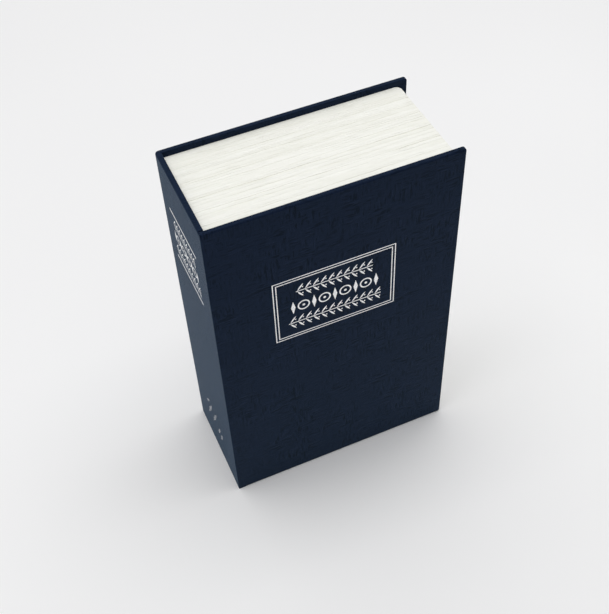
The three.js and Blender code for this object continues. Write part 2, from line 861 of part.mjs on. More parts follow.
function lidGroup() {
  const made = group(
    piece("lid_panel", lidPanel(), boxPaint),
    piece("hinge_lid_leaf", lidLeaf(), brightSteel),
  );
  leafRivetLevels.forEach((z, index) => {
    const grip = lidLeafY[1] - lidFaceY;
    const one = piece(`lid_leaf_rivet_${index + 1}`, rivet(grip, true), brightSteel);
    made.add(placed(one, lidRivetX, lidFaceY, z));
  });
  return made;
}

// The lock: its fixed pieces, then the plug and what turns with it
function lockGroup() {
  const made = group(
    piece("lock_housing", lockHousing(), lockChrome),
    piece("star_washer", starWasher(), brightSteel),
    piece("lock_nut", lockNut(), brightSteel),
    piece("lock_plug", lockPlug(), lockChrome),
    piece("stop_washer", stopWasher(), brightSteel),
    piece("lock_cam", lockCam(), brightSteel),
    piece("cam_washer", camWasher(), brightSteel),
    piece("cam_nut", camNut(), brightSteel),
  );
  for (let index = 0; index < waferCount; index += 1) {
    const level = waferLevel(index);
    const springY = level + waferThickness / 2;
    const springZ = waferEarLevel - springLength - fitGap + springWireRadius;
    const spring = piece(`wafer_spring_${index + 1}`, waferSpring(), brightSteel);
    made.add(placed(piece(`wafer_${index + 1}`, wafer(), brass), 0, level, 0));
    made.add(placed(spring, springX, springY, springZ));
  }
  made.position.set(lockX, lidFaceY, middleZ);
  return made;
}

export default group(caseGroup(), frontCoverGroup(), boxGroup(), lidGroup(), lockGroup());
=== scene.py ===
# %% [markdown]
# # A book that hides a small safe
# The real object looks like a hardback that stands on its tail edge: two boards and a spine
# covered in navy book cloth, round a white moulded block that passes for the leaves. Behind
# the front cover lies a steel box with a hinged lid and a cam lock.
# The measured solids come in as a fixed frame. Each piece made here takes its place from one
# of them, in metres, so nothing has to be fitted by eye.

# %% Load the measured solids
import bisect
import json
import math

import bmesh
import bpy
from mathutils import Matrix, Quaternion, Vector, noise

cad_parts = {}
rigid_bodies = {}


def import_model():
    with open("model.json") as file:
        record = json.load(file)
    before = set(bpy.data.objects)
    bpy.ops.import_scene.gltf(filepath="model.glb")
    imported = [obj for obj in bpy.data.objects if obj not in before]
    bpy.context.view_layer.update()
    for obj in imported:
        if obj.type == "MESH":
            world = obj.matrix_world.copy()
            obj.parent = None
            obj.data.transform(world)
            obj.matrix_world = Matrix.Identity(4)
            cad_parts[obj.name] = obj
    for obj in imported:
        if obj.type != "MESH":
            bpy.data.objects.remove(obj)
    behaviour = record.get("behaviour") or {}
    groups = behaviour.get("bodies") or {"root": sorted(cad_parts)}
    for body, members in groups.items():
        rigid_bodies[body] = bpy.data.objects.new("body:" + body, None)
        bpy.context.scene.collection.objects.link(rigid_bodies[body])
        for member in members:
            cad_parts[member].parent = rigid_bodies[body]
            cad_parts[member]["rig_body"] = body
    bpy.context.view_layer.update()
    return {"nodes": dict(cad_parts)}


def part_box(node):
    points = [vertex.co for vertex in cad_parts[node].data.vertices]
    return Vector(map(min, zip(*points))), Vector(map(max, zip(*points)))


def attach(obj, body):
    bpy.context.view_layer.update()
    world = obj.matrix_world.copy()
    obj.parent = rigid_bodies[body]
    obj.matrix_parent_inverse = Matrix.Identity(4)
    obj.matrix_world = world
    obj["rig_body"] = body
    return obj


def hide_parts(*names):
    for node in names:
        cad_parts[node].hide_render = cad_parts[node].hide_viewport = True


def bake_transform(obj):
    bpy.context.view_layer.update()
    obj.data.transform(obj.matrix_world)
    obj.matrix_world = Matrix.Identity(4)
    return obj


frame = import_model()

solids = frame["nodes"]
mm = 0.001

# %% [markdown]
# ## Camera
# A camera is its place, what it looks at, its roll and its lens. The four were worked out from
# the corners of the book in the picture, so the book falls where it should without a shift.
# An aim and a roll are easier to read than three angles, and to_track_quat turns them into a
# rotation.

# %% Camera
camera_place = Vector((-0.1233, -0.2992, 0.4508))
camera_aim = Vector((-0.0059, 0, 0.0864))
camera_roll = math.radians(-3.085)

camera_data = bpy.data.cameras.new("camera")
camera_data.sensor_width = 36
camera_data.lens = 60.26
camera = bpy.data.objects.new("camera", camera_data)
bpy.context.scene.collection.objects.link(camera)
camera.location = camera_place
camera.rotation_mode = "QUATERNION"
level_view = (camera_aim - camera_place).to_track_quat("-Z", "Y")
camera.rotation_quaternion = level_view @ Quaternion((0, 0, 1), camera_roll)
bpy.context.scene.camera = camera
print("camera", round((camera_aim - camera_place).length, 3), "m from the book")

# %% [markdown]
# ## Wires
# Materials are graphs of nodes, and maths on them is hard to read when each node is made and
# linked by hand. One small class wraps a socket, so that `1 - mask * 0.3` adds its own Math
# nodes. A second one holds the graph and makes any other node from its kind, its settings and
# what goes into its sockets.

# %% Wires and wiring
class Wire:
    """One socket of a graph; sums, differences and products of wires add Math nodes."""

    def __init__(self, wiring, socket):
        self.wiring = wiring
        self.socket = socket

    def maths(self, operation, first, second):
        return self.wiring.node("ShaderNodeMath", {"operation": operation}, {0: first, 1: second})

    def __add__(self, other):
        return self.maths("ADD", self, other)

    def __radd__(self, other):
        return self.maths("ADD", other, self)

    def __sub__(self, other):
        return self.maths("SUBTRACT", self, other)

    def __rsub__(self, other):
        return self.maths("SUBTRACT", other, self)

    def __mul__(self, other):
        return self.maths("MULTIPLY", self, other)

    def __rmul__(self, other):
        return self.maths("MULTIPLY", other, self)

    def or_larger(self, other):
        return self.maths("MAXIMUM", self, other)


class Wiring:
    """A graph of nodes, and the one method that adds a node to it."""

    def __init__(self, tree):
        self.tree = tree

    def feed(self, socket, value):
        if isinstance(value, Wire):
            self.tree.links.new(value.socket, socket)
        else:
            socket.default_value = value

    def node(self, kind, settings=(), sockets=(), output=0):
        made = self.tree.nodes.new(kind)
        for name, value in dict(settings).items():
            setattr(made, name, value)
        for name, value in dict(sockets).items():
            self.feed(made.inputs[name], value)
        return Wire(self, made.outputs[output]) if made.outputs else None

    def vector_maths(self, operation, first, second=(0, 0, 0), output="Vector"):
        sockets = {0: first, 1: second}
        return self.node("ShaderNodeVectorMath", {"operation": operation}, sockets, output)

# %% [markdown]
# ## Light
# The picture has the plain look of a white table under a long soft lamp: the shadows are pale
# and have no edge. The lamp hangs right above the book, along its width, and gives the top of
# the leaves their full white. Pale surroundings light the rest, more from behind the book than
# from the side of the camera, so the shadow falls to the front. Both are only as strong as it
# takes for a colour to come out about as it is written.
# The camera and mirrors see the surroundings paler than what they add to the light. Light Path
# tells these rays apart.

# %% Lamp
lamp_data = bpy.data.lights.new("overhead_lamp", "AREA")
lamp_data.shape = "RECTANGLE"
lamp_data.size = 2.0
lamp_data.size_y = 0.9
lamp_data.energy = 13.6
lamp = bpy.data.objects.new("overhead_lamp", lamp_data)
bpy.context.scene.collection.objects.link(lamp)
lamp.location = Vector((0, 0, 1.6))
bpy.context.scene.view_settings.view_transform = "Standard"
print("lamp of", lamp_data.energy, "watts,", round(lamp_data.size, 2), "m wide")

# %% Pale surroundings
lighting_strength = 0.54
brighter_towards = (-0.05, 0.72, 0)
shown_strength = 0.84

surroundings = bpy.data.worlds.new("surroundings")
surroundings.use_nodes = True
surroundings.node_tree.nodes.clear()
bpy.context.scene.world = surroundings
sky = Wiring(surroundings.node_tree)
direction = sky.node("ShaderNodeTexCoord", output="Generated")
lean = sky.vector_maths("DOT_PRODUCT", direction, brighter_towards, "Value")
lighting = lighting_strength * (1 + lean)
direct = sky.node("ShaderNodeLightPath", output="Is Camera Ray")
mirrored = sky.node("ShaderNodeLightPath", output="Is Glossy Ray")
through_glass = sky.node("ShaderNodeLightPath", output="Is Transmission Ray")
shown = direct.or_larger(mirrored).or_larger(through_glass)
strength = lighting + shown * (shown_strength - lighting)
pale = sky.node("ShaderNodeBackground", {}, {"Color": (1, 1, 1, 1), "Strength": strength})
sky.node("ShaderNodeOutputWorld", {}, {"Surface": pale})
print("surroundings light with", lighting_strength, "and show as", shown_strength)

# %% [markdown]
# ## Finishes
# A finish is a material with its own wiring. All of them start from the same few patterns, and
# they read the place on the piece (Object coordinates) in millimetres, so that a pattern has
# its real size and runs on from one piece to the next without a seam.

# %% What the finishes share
class Finish(Wiring):
    """A material, its shader's sockets and the patterns that all finishes share."""

    def __init__(self, name, constants):
        self.material = bpy.data.materials.new(name)
        self.material.use_nodes = True
        super().__init__(self.material.node_tree)
        self.shader = self.tree.nodes["Principled BSDF"].inputs
        for socket, value in constants.items():
            self.shader[socket].default_value = value
        self.place = self.node("ShaderNodeTexCoord", output="Object")

    def speckle(self, spots, detail=2, roughness=0.5, sway=0):
        """Noise with so many spots in a millimetre: one number, or three for X, Y and Z."""
        counts = spots if isinstance(spots, tuple) else (spots, spots, spots)
        place = self.vector_maths("MULTIPLY", self.place, [count / mm for count in counts])
        sockets = {"Scale": 1, "Detail": detail, "Roughness": roughness, "Distortion": sway}
        return self.node("ShaderNodeTexNoise", {}, {"Vector": place, **sockets})

    def ramp(self, value, low, high):
        """0 below low, 1 above high, and a smooth step between them."""
        sockets = {"Value": value, "From Min": low, "From Max": high}
        return self.node("ShaderNodeMapRange", {"interpolation_type": "SMOOTHSTEP"}, sockets)

    def colours(self, share, first, second):
        """The first colour where share is 0, the second where it is 1."""
        return self.node("ShaderNodeMix", {"data_type": "RGBA"}, {0: share, 6: first, 7: second}, 2)

    def relief(self, height, depth):
        """Bumps of a height from 0 to 1 that stand out by so many metres."""
        bump = self.node("ShaderNodeBump", {}, {"Height": height, "Distance": depth, "Strength": 1})
        self.feed(self.shader["Normal"], bump)

    def paint(self, colour, roughness):
        self.feed(self.shader["Base Color"], colour)
        self.feed(self.shader["Roughness"], roughness)

# %% [markdown]
# ## Book cloth
# Book cloth is a thin cotton, dyed and filled with starch. Single thick threads stand out,
# some upright and some lying, with hollows between them, and in each part of the cover
# one of the two directions prevails. A weave drawn as a grid would look printed. So each
# direction is its own noise, drawn out to strokes a few millimetres long, and a third, slower
# noise chooses between them. Where the strokes run low they make the hollows, which are
# dented and darkened with painted shade. Where they run high they make crests, which are
# raised and lightened with a painted highlight. Under them lies the weave itself: short fine
# threads both ways, of which the higher one shows.

# %% Navy book cloth
cloth = Finish("navy_book_cloth", {
    "Specular IOR Level": 0.026,
    "Sheen Weight": 0.13,
    "Sheen Roughness": 0.5,
    "Sheen Tint": (0.37, 0.66, 1, 1),
})
upright_slubs = cloth.speckle((1.25, 1.25, 0.24), 2, 0.5, 0.35)
lying_slubs = cloth.speckle((0.24, 0.24, 1.25), 2, 0.5, 0.35)
mostly_upright = cloth.ramp(cloth.speckle(0.11, 1), 0.42, 0.58)
in_clusters = cloth.ramp(cloth.speckle(0.06, 2), 0.38, 0.62) * 0.6 + 0.4
slubs = upright_slubs * mostly_upright + lying_slubs * (1 - mostly_upright)
# Hollows dent the relief and get painted shade; crests stand out and get a painted highlight.
hollows_with_painted_shade = (1 - cloth.ramp(slubs, 0.36, 0.5)) * in_clusters
crests_with_painted_highlight = cloth.ramp(slubs, 0.54, 0.7) * in_clusters
upright_threads = cloth.speckle((5.5, 5.5, 0.9), 1)
lying_threads = cloth.speckle((0.9, 0.9, 5.5), 1)
weave = cloth.ramp(upright_threads.or_larger(lying_threads), 0.42, 0.74)
dye_cloud = cloth.ramp(cloth.speckle(0.022, 2), 0.3, 0.7)
navy_low = (0.0010, 0.0035, 0.0105, 1)
navy_high = (0.0084, 0.0160, 0.0400, 1)
# Painted shade and painted highlight: the colour is darker in the hollows and lighter on the
# crests.
tone = 0.54 - hollows_with_painted_shade * 0.6 + crests_with_painted_highlight * 0.3 + dye_cloud * 0.1 + weave * 0.16
cloth_roughness = 0.46 + weave * 0.14 - crests_with_painted_highlight * 0.06
cloth.paint(cloth.colours(tone, navy_low, navy_high), cloth_roughness)
cloth.relief((crests_with_painted_highlight - hollows_with_painted_shade) * 0.6 + weave * 0.5, 0.04 * mm)
print(cloth.material.name, len(cloth.tree.nodes), "nodes")

# %% [markdown]
# ## Foil
# The stamping is white foil, pressed into the cloth by a hot die. It isn't quite even: where a
# thread lies low, the foil doesn't take, and a fleck of navy shows. The same strokes as in the
# cloth would be too large for such thin lines, so the flecks have a finer noise of their own.
# The small row at the foot of the spine is rubbed from handling, and has more of them.

# %% White foil, sound and rubbed
foil_grey, foil_white = (0.84, 0.85, 0.86, 1), (0.94, 0.94, 0.94, 1)
bare_cloth = (0.05, 0.07, 0.11, 1)


def foil_finish(name, missing):
    """White metallic foil; the larger missing is, the more flecks of bare cloth show in it."""
    foil = Finish(name, {"Metallic": 1.0})
    flecks = foil.ramp(foil.speckle(3.1, 2), 0.5 - missing, 0.56 - missing)
    shade = foil.ramp(foil.speckle(0.5, 2), 0.3, 0.7)
    white = foil.colours(shade, foil_grey, foil_white)
    foil.paint(foil.colours(flecks, white, bare_cloth), 0.42 + flecks * 0.2)
    foil.relief(1 - flecks, 0.02 * mm)
    return foil


sound_foil = foil_finish("white_foil", missing=-0.14)
rubbed_foil = foil_finish("rubbed_foil", missing=0.09)
print("two foils")

# %% [markdown]
# ## Leaves
# The block of leaves is one moulding in a warm white, with the edges of the leaves as grooves.
# The large grooves are in its mesh, which also stores how deep each point lies. The colour
# reads that depth and darkens the grooves with painted shade. The very thin edges between
# the grooves are a noise that is fine across the thickness of the book and drawn out along
# the leaves.

# %% Warm white of the leaves
leaves = Finish("page_white", {"Specular IOR Level": 0.3})
groove_depth = leaves.node("ShaderNodeAttribute", {"attribute_name": "leaf_depth"}, output="Fac")
leaf_edges = leaves.speckle((0.12, 2.2, 0.12), 3, 0.6)
loose_leaves = leaves.ramp(leaves.speckle((0.1, 1.1, 0.1), 2, 0.6, 0.9), 0.5, 0.72)
leaf_clouds = leaves.ramp(leaves.speckle((0.02, 0.35, 0.02), 2), 0.35, 0.65)
leaf_dull, leaf_bright = (0.862, 0.862, 0.80, 1), (0.895, 0.895, 0.845, 1)
leaf_shade = (0.66, 0.65, 0.55, 1)
leaf_white = leaves.colours(leaf_clouds, leaf_dull, leaf_bright)
fine_lines = leaves.ramp(leaf_edges, 0.48, 0.72) * 0.16 + loose_leaves * 0.14
# Painted shade: the colour darkens with the depth of a groove, and the fine lines add the thin
# edges of the leaves.
painted_shade_and_lines = leaves.ramp(groove_depth, 0, 1) * 0.32 + fine_lines
leaves.paint(leaves.colours(painted_shade_and_lines, leaf_white, leaf_shade), 0.55 + leaf_edges * 0.15)
leaves.relief(leaf_edges - loose_leaves, 0.06 * mm)
print(leaves.material.name, len(leaves.tree.nodes), "nodes")

# %% [markdown]
# ## Lining paper and greyboard
# Lining papers are smooth, dyed through, and show a few short fibres. Greyboard is pressed
# from waste paper: grey-brown, with dark and pale specks. The boards hide in the cloth, but
# they are finished like the rest.

# %% Papers
lining = Finish("lining_paper", {"Specular IOR Level": 0.3})
fibres = lining.ramp(lining.speckle((1.2, 1.2, 0.5), 3), 0.55, 0.7)
lining_cloud = lining.ramp(lining.speckle(0.04, 2), 0.3, 0.7)
lining_tone = fibres * 0.35 + lining_cloud * 0.3
lining_dark, lining_pale = (0.006, 0.008, 0.012, 1), (0.016, 0.02, 0.028, 1)
lining.paint(lining.colours(lining_tone, lining_dark, lining_pale), 0.72 - fibres * 0.1)
lining.relief(fibres + lining_cloud, 0.02 * mm)

greyboard = Finish("greyboard", {"Specular IOR Level": 0.2})
pulp = greyboard.speckle(0.9, 4, 0.7)
specks = greyboard.ramp(greyboard.speckle(2.4, 1), 0.66, 0.72)
pulp_dark, pulp_pale = (0.20, 0.185, 0.155, 1), (0.36, 0.33, 0.28, 1)
speck_colour = (0.06, 0.055, 0.05, 1)
board_colour = greyboard.colours(pulp, pulp_dark, pulp_pale)
greyboard.paint(greyboard.colours(specks, board_colour, speck_colour), 0.85 + pulp * 0.1)
greyboard.relief(pulp, 0.05 * mm)
print("two papers")

# %% [markdown]
# ## Metals
# The box and its lid are sheet steel with a dark powder coat, which sets with a fine orange
# peel. The small parts are zinc-plated steel with cloudy, faintly scratched plating. The face
# of the lock is chromed over fine turning marks, rings round its own axis. The wafers are
# stamped from brass.

# %% Powder coat and zinc
coat = Finish("dark_powder_coat", {"Specular IOR Level": 0.5})
orange_peel = coat.speckle(1.3, 2)
coat_cloud = coat.ramp(coat.speckle(0.05, 2), 0.3, 0.7)
coat_dark, coat_pale = (0.020, 0.021, 0.023, 1), (0.030, 0.031, 0.034, 1)
coat.paint(coat.colours(coat_cloud, coat_dark, coat_pale), 0.36 + orange_peel * 0.22)
coat.relief(orange_peel, 0.05 * mm)

zinc = Finish("zinc_plate", {"Metallic": 1.0})
plating = zinc.ramp(zinc.speckle(0.25, 2), 0.2, 0.8)
scratches = zinc.ramp(zinc.speckle((2.5, 2.5, 0.12), 1), 0.6, 0.75)
zinc_dark, zinc_pale = (0.50, 0.51, 0.53, 1), (0.62, 0.63, 0.63, 1)
zinc_roughness = 0.32 + plating * 0.06 + scratches * 0.1
zinc.paint(zinc.colours(plating, zinc_dark, zinc_pale), zinc_roughness)
zinc.relief(scratches, 0.01 * mm)
print("powder coat and zinc")

# %% Chrome with turning marks, and brass
lock_low, lock_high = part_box("lock_housing")
lock_axis = (lock_low + lock_high) / 2
chrome = Finish("turned_chrome", {"Metallic": 1.0})
shifted_place = {"Vector": chrome.place, "Location": -lock_axis}
from_axis = chrome.node("ShaderNodeMapping", {}, shifted_place)
flattened = chrome.vector_maths("MULTIPLY", from_axis, (1, 0, 1))
from_centre = chrome.vector_maths("LENGTH", flattened, output="Value")
turning_marks = {"W": from_centre * (5 / mm), "Scale": 1, "Detail": 2}
rings = chrome.node("ShaderNodeTexNoise", {"noise_dimensions": "1D"}, turning_marks)
smudges = chrome.ramp(chrome.speckle(0.3, 2), 0.4, 0.7)
chrome_clear, chrome_smudged = (0.74, 0.75, 0.77, 1), (0.66, 0.67, 0.69, 1)
chrome_roughness = 0.08 + rings * 0.12 + smudges * 0.1
chrome.paint(chrome.colours(smudges, chrome_clear, chrome_smudged), chrome_roughness)
chrome.relief(rings, 0.006 * mm)

brass = Finish("stamped_brass", {"Metallic": 1.0})
tarnish = brass.ramp(brass.speckle(0.6, 3), 0.35, 0.7)
brass_bright, brass_dull = (0.72, 0.50, 0.20, 1), (0.50, 0.34, 0.14, 1)
brass.paint(brass.colours(tarnish, brass_bright, brass_dull), 0.24 + tarnish * 0.2)
brass.relief(tarnish, 0.01 * mm)
print("chrome and brass")

# %% [markdown]
# ## Tools for the pieces
# Each piece is a bmesh that starts from a block, a sheet or a disc, and is shaped with
# Blender's own operators. A few of them need the same arguments each time, so they get short
# names here: a block between two corners, a slice through it, an opening, rounded edges, a
# turn, and the last step, which turns the mesh into an object that rides on a body of the
# frame.
# Smooth shading averages the directions of the faces round a point, so next to a rounded edge
# a large flat face would look bent. The Weighted Normal modifier lets the larger face lead, and
# the flat stays flat. A piece set down as one that bends goes without it.

# %% Blocks, slices, openings and rounded edges
same_place = 1e-6
merge_distance = 1e-7


def block(low, high):
    shape = bmesh.new()
    bmesh.ops.create_cube(shape, size=1)
    bmesh.ops.scale(shape, vec=high - low, verts=shape.verts)
    bmesh.ops.translate(shape, vec=(low + high) / 2, verts=shape.verts)
    return shape


def near(first, second):
    return abs(first - second) < same_place


def faces_at(shape, test):
    return [face for face in shape.faces if test(face.calc_center_median())]


def edges_at(shape, test):
    return [edge for edge in shape.edges if all(test(point.co) for point in edge.verts)]


def slice_faces(shape, faces, point, direction):
    """Cuts the faces along a plane and leaves both halves."""
    edges = {edge for face in faces for edge in face.edges}
    points = {point for face in faces for point in face.verts}
    bmesh.ops.bisect_plane(
        shape, geom=[*faces, *edges, *points], plane_co=point, plane_no=direction,
        dist=merge_distance,
    )


def open_up(shape, test):
    bmesh.ops.delete(shape, geom=faces_at(shape, test), context="FACES")


def round_edges(shape, edges, radius, steps):
    bmesh.ops.bevel(
        shape, geom=edges, offset=radius, offset_type="OFFSET", affect="EDGES",
        segments=steps, profile=0.5, material=-1, clamp_overlap=True,
    )


def turn_points(shape, points, degrees, axis):
    turn = Matrix.Rotation(math.radians(degrees), 3, axis)
    bmesh.ops.rotate(shape, cent=(0, 0, 0), matrix=turn, verts=points)


def only_points(parts):
    return [part for part in parts if isinstance(part, bmesh.types.BMVert)]

# %% From a mesh to a piece
def set_down(shape, name, finish, body=None, replaced=(), crease=35, bends=False):
    """Turns a bmesh into a piece of the object. Angles sharper than crease stay crisp."""
    mesh = bpy.data.meshes.new(name)
    shape.to_mesh(mesh)
    shape.free()
    mesh.materials.append(finish.material)
    mesh.shade_smooth()
    mesh.set_sharp_from_angle(angle=math.radians(crease))
    piece = bpy.data.objects.new(name, mesh)
    bpy.context.scene.collection.objects.link(piece)
    if not bends:
        piece.modifiers.new("large_faces_lead", "WEIGHTED_NORMAL").keep_sharp = True
    if body:
        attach(piece, body)
    if replaced:
        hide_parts(*replaced)
    print(name, "has", len(mesh.polygons), "faces")
    return piece

# %% [markdown]
# ## Floor
# A plain pale sheet that is much larger than the view. It isn't part of the object. Far from
# the book it gets little light, so there the camera sees it as pale as the surroundings, and
# no dark band shows where the two meet.

# %% Floor
floor_finish = Finish("pale_floor", {"Specular IOR Level": 0.1})
floor_cloud = floor_finish.ramp(floor_finish.speckle(0.004, 1), 0.2, 0.8)
floor_dull, floor_bright = (0.93, 0.93, 0.935, 1), (0.95, 0.95, 0.955, 1)
fade_from, fade_to = 0.9, 2.4
floor_finish.paint(floor_finish.colours(floor_cloud, floor_dull, floor_bright), 0.9)
seen = floor_finish.node("ShaderNodeLightPath", output="Is Camera Ray")
distance = floor_finish.vector_maths("LENGTH", floor_finish.place, output="Value")
far = floor_finish.ramp(distance, fade_from, fade_to)
glow = {"Color": (1, 1, 1, 1), "Strength": shown_strength}
far_tone = floor_finish.node("ShaderNodeEmission", {}, glow)
near_tone = Wire(floor_finish, floor_finish.tree.nodes["Principled BSDF"].outputs[0])
both = floor_finish.node("ShaderNodeMixShader", {}, {0: seen * far, 1: near_tone, 2: far_tone})
floor_finish.feed(floor_finish.tree.nodes["Material Output"].inputs["Surface"], both)
floor_shape = bmesh.new()
bmesh.ops.create_grid(floor_shape, x_segments=8, y_segments=8, size=4)
floor = set_down(floor_shape, "floor", floor_finish)

# %% [markdown]
# ## Cloth of the front cover
# On a real case the cloth lies on the outside of the board, goes over its edges and is turned
# in on the inside, where the lining paper covers the rest of the board. The folds at the two
# corners meet in a mitre.
# It could be a sheet wrapped by simulation, but glued cloth follows its board exactly. So it
# starts as a block the size of the covered board: the corners and edges are rounded, the part
# under the lining is opened, and the skin that is left gets the thickness of the cloth inwards.
# Next to the spine its outer face is opened too, because the cloth of the joint lies there.

# %% Planes of the case
front_low, front_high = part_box("front_cloth")
board_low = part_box("front_board")[0]
joint_low, joint_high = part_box("joint_cloth")
lining_low, lining_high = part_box("front_lining")
cloth_thickness = board_low.y - front_low.y
lining_gap = 0.3 * mm
turn_in_x = lining_high.x + lining_gap
turn_in_z = lining_low.z - lining_gap
top_z = front_high.z
cover_corner = 1.2 * mm
outer_edge = 0.85 * mm
inner_edge = 0.45 * mm
fold_width = 0.25 * mm
fold_depth = 0.12 * mm
across, along, up = Vector((1, 0, 0)), Vector((0, 1, 0)), Vector((0, 0, 1))
folds = ((turn_in_z, 1), (top_z - turn_in_z, -1))
lining_planes = ((across * turn_in_x, across), (up * turn_in_z, up), (up * (top_z - turn_in_z), up))
print("cloth", round(cloth_thickness / mm, 2), "mm thick")
print("turned in by", round(turn_in_z / mm, 1), "mm")

# %% Rounded block
def round_corners(shape, fore_edge_x):
    """Rounds the two corners that a cover has at its fore-edge."""
    for z in (0, top_z):
        corner = edges_at(shape, lambda co: near(co.x, fore_edge_x) and near(co.z, z))
        round_edges(shape, corner, cover_corner, 5)


front_skin = block(front_low, front_high)
round_corners(front_skin, front_high.x)
for y, radius in ((front_low.y, outer_edge), (front_high.y, inner_edge)):
    rim = edges_at(front_skin, lambda co: near(co.y, y))
    rim = [edge for edge in rim if not all(near(point.co.x, front_low.x) for point in edge.verts)]
    round_edges(front_skin, rim, radius, 5)
print("block with", len(front_skin.faces), "faces")

# %% Mitres of the turned-in corners
def mitre(shape, y, press, corner_z, side):
    """Cuts three lines over a corner of the inner face and presses the middle one in."""
    diagonal = Vector((1, 0, side))
    fold_point = Vector((turn_in_x, y, corner_z))
    for shift in (-fold_width, 0, fold_width):
        turned_in = faces_at(shape, lambda co: near(co.y, y))
        slice_faces(shape, turned_in, fold_point + diagonal * shift, diagonal)
    for point in shape.verts:
        on_line = near((point.co - fold_point).dot(diagonal), 0)
        if near(point.co.y, y) and on_line and point.co.x > turn_in_x - same_place:
            point.co.y += press


for z, side in folds:
    mitre(front_skin, front_high.y, -fold_depth, z, side)
print("two mitres")

# %% Opening under the lining, and the step for the joint
inner_side = front_high.y - 0.2 * mm
for point, direction in lining_planes:
    inner_faces = faces_at(front_skin, lambda co: co.y > inner_side)
    slice_faces(front_skin, inner_faces, point, direction)
open_up(front_skin, lambda co: (
    co.y > inner_side and co.x < turn_in_x and turn_in_z < co.z < top_z - turn_in_z
))
slice_faces(front_skin, front_skin.faces[:], joint_high, across)
beside_joint = faces_at(front_skin, lambda co: co.x < joint_high.x)
slice_faces(front_skin, beside_joint, Vector((0, front_low.y + cloth_thickness, 0)), along)
open_up(front_skin, lambda co: co.x < joint_high.x and co.y < front_low.y + cloth_thickness)
bmesh.ops.solidify(front_skin, geom=front_skin.faces[:], thickness=cloth_thickness)
set_down(front_skin, "front_cover_cloth", cloth, "front_cover", ["front_cloth"])

# %% [markdown]
# ## Cloth of the spine and the back cover
# The spine and the back cover of the safe are one rigid corner, because the box is fixed in
# them. The cloth runs round that corner in one soft curve. It is made like the front: a block
# for the back cover, its inner face beside the spine drawn out to form the spine, and then the
# same rounding, openings and thickness.

# %% Spine drawn out of the back cover
back_low, back_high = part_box("back_cloth")
spine_low, spine_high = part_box("spine_cloth")
spine_corner = 1.6 * mm
case_skin = block(back_low, back_high)
slice_faces(case_skin, case_skin.faces[:], spine_high, across)
beside_spine = faces_at(case_skin, lambda co: near(co.y, back_low.y) and co.x < spine_high.x)
drawn = bmesh.ops.extrude_face_region(case_skin, geom=beside_spine)["geom"]
depth_of_spine = Vector((0, spine_low.y - back_low.y, 0))
bmesh.ops.translate(case_skin, vec=depth_of_spine, verts=only_points(drawn))
bmesh.ops.delete(case_skin, geom=beside_spine, context="FACES")
bmesh.ops.recalc_face_normals(case_skin, faces=case_skin.faces)
print("corner with", len(case_skin.faces), "faces")

# %% Its rounded edges
back_edge = edges_at(case_skin, lambda co: near(co.x, spine_low.x) and near(co.y, back_high.y))
round_edges(case_skin, back_edge, spine_corner, 7)
round_corners(case_skin, back_high.x)


def is_rim(edge):
    """An outward edge at the head, the tail or the fore-edge of the case."""
    if len(edge.link_faces) != 2 or not edge.is_convex:
        return False
    if edge.calc_face_angle() < math.radians(60):
        return False
    return not all(near(point.co.y, spine_low.y) for point in edge.verts)


def on_inner_side(edge):
    places = [point.co for point in edge.verts]
    return all(near(co.y, back_low.y) or near(co.x, spine_high.x) for co in places)


rim = [edge for edge in case_skin.edges if is_rim(edge)]
round_edges(case_skin, [edge for edge in rim if not on_inner_side(edge)], outer_edge, 5)
inner_rim = [edge for edge in case_skin.edges if is_rim(edge) and on_inner_side(edge)]
round_edges(case_skin, inner_rim, inner_edge, 4)
print(len(rim), "edges of the rim rounded")

# %% Its mitres, openings and thickness
for z, side in folds:
    mitre(case_skin, back_low.y, fold_depth, z, side)
for point, direction in lining_planes:
    slice_faces(case_skin, case_skin.faces[:], point, direction)


def under_linings(co):
    beside_back_lining = near(co.y, back_low.y) and co.x < turn_in_x
    beside_spine_lining = near(co.x, spine_high.x)
    return (beside_back_lining or beside_spine_lining) and turn_in_z < co.z < top_z - turn_in_z


open_up(case_skin, under_linings)
slice_faces(case_skin, case_skin.faces[:], joint_high, along)
beside_joint = faces_at(case_skin, lambda co: co.y < joint_high.y)
slice_faces(case_skin, beside_joint, Vector((spine_low.x + cloth_thickness, 0, 0)), across)
open_up(case_skin, lambda co: co.y < joint_high.y and co.x < spine_low.x + cloth_thickness)
bmesh.ops.solidify(case_skin, geom=case_skin.faces[:], thickness=cloth_thickness)
set_down(case_skin, "case_cloth", cloth, "root", ["back_cloth", "spine_cloth"])

# %% [markdown]
# ## Cloth of the joint
# The front cover turns on nothing but its cloth: a strip that lies on the spine with one half
# and on the front board with the other, and folds at the corner between them. It starts as a
# flat grid, which is turned up along its middle and gets its thickness.

# %% Joint cloth
joint_leg = joint_high.x - joint_low.x
strip_end = 0.12 * mm
fold_radius = 0.45 * mm
strip_height = top_z - 2 * strip_end
joint_strip = bmesh.new()
bmesh.ops.create_grid(joint_strip, x_segments=2, y_segments=60, size=0.5)
bmesh.ops.scale(joint_strip, vec=(2 * joint_leg, strip_height, 1), verts=joint_strip.verts)
fold_rows = [edge for edge in joint_strip.edges if near(edge.verts[0].co.y, edge.verts[1].co.y)]
bmesh.ops.subdivide_edges(joint_strip, edges=fold_rows, cuts=7, use_grid_fill=True)
half = [point for point in joint_strip.verts if point.co.x < -merge_distance]
turn_points(joint_strip, half, -90, "Y")
print(len(joint_strip.verts), "points,", len(half), "of them on the spine")
upright = Matrix.Rotation(math.radians(90), 4, "X")
to_corner = Matrix.Translation((joint_low.x, joint_low.y, top_z / 2))
bmesh.ops.transform(joint_strip, matrix=to_corner @ upright, verts=joint_strip.verts)

